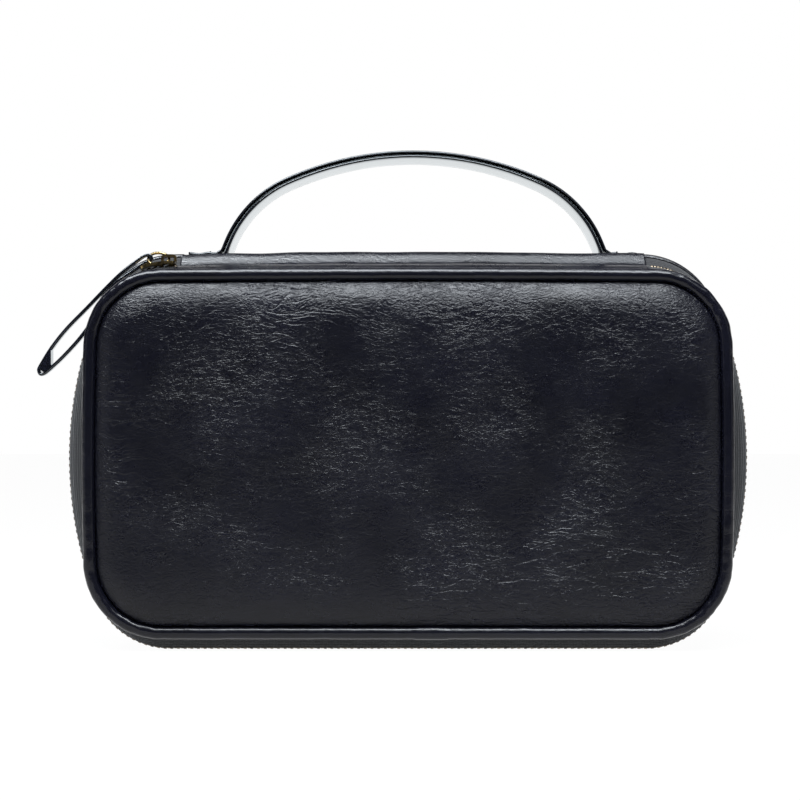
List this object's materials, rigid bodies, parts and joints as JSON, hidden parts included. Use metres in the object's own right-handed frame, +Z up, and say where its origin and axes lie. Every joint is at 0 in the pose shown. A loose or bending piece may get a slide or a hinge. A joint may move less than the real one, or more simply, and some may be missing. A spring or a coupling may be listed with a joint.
{
  "type": "toiletry bag",
  "caption": "Padded black leather-look clamshell toiletry bag with a zipped lid hinged at the top, an arched carry handle and a leather zip pull.",
  "frame": {"origin": "middle of the flat bottom that the bag stands on", "axes": "+Z up, +X to the viewer's right along the long side, +Y away from the viewer"},
  "size_m": [0.2657, 0.0777, 0.1885],
  "materials": {
    "leather": "black imitation leather, fine creases, semi gloss",
    "foam": "soft foam padding",
    "board": "stiff backing board",
    "lining": "black woven lining",
    "cord": "plain filler cord",
    "zip_tape": "black woven tape",
    "zip_teeth": "dark antique metal",
    "thread": "black sewing thread",
    "antique_brass": "worn antique brass"
  },
  "bodies": {
    "case": {"back_panel": "leather", "back_foam": "foam", "back_board": "board", "back_lining": "lining", "back_piping": "leather", "back_piping_cord": "cord", "gusset": "leather", "top_strip": "leather", "gusset_foam": "foam", "top_board": "board", "gusset_lining": "lining", "case_binding": "lining", "zip_tape_back": "zip_tape", "zip_teeth_back": "zip_teeth", "zip_teeth_corner_back": "zip_teeth", "zip_teeth_corner_front": "zip_teeth", "zip_tape_corner": "zip_tape", "handle_outer": "leather", "handle_core": "foam", "handle_inner": "leather", "handle_stitches": "thread"},
    "lid": {"front_panel": "leather", "front_foam": "foam", "front_board": "board", "front_lining": "lining", "front_piping": "leather", "front_piping_cord": "cord", "lid_flap": "leather", "zip_tape_front": "zip_tape", "zip_teeth_front": "zip_teeth", "lid_binding": "lining"},
    "zip_slider": {"slider_body": "antique_brass", "slider_crown": "antique_brass"},
    "ring": {"pull_ring": "antique_brass"},
    "pull": {"pull_strap": "leather", "pull_tip": "leather"}
  },
  "joints": [
    {"name": "lid_hinge", "type": "hinge", "parent": "case", "child": "lid", "pos_m": [0, -0.022, 0.1455], "axis": [-1, 0, 0], "range_deg": [0, 120]},
    {"name": "slider_travel", "type": "hinge", "parent": "case", "child": "zip_slider", "pos_m": [-0.08901, -0.022, 0.11368], "axis": [0, -1, 0], "range_deg": [0, 48]},
    {"name": "ring_swing", "type": "hinge", "parent": "zip_slider", "child": "ring", "pos_m": [-0.0897, -0.022, 0.14603], "axis": [0, 1, 0], "range_deg": [0, 48]},
    {"name": "pull_swing", "type": "hinge", "parent": "ring", "child": "pull", "pos_m": [-0.09724, -0.022, 0.14805], "axis": [0, 1, 0], "range_deg": [0, 75]}
  ],
  "couplings": [
    {"joint": "ring_swing", "follows": "slider_travel", "ratio": 1}
  ]
}
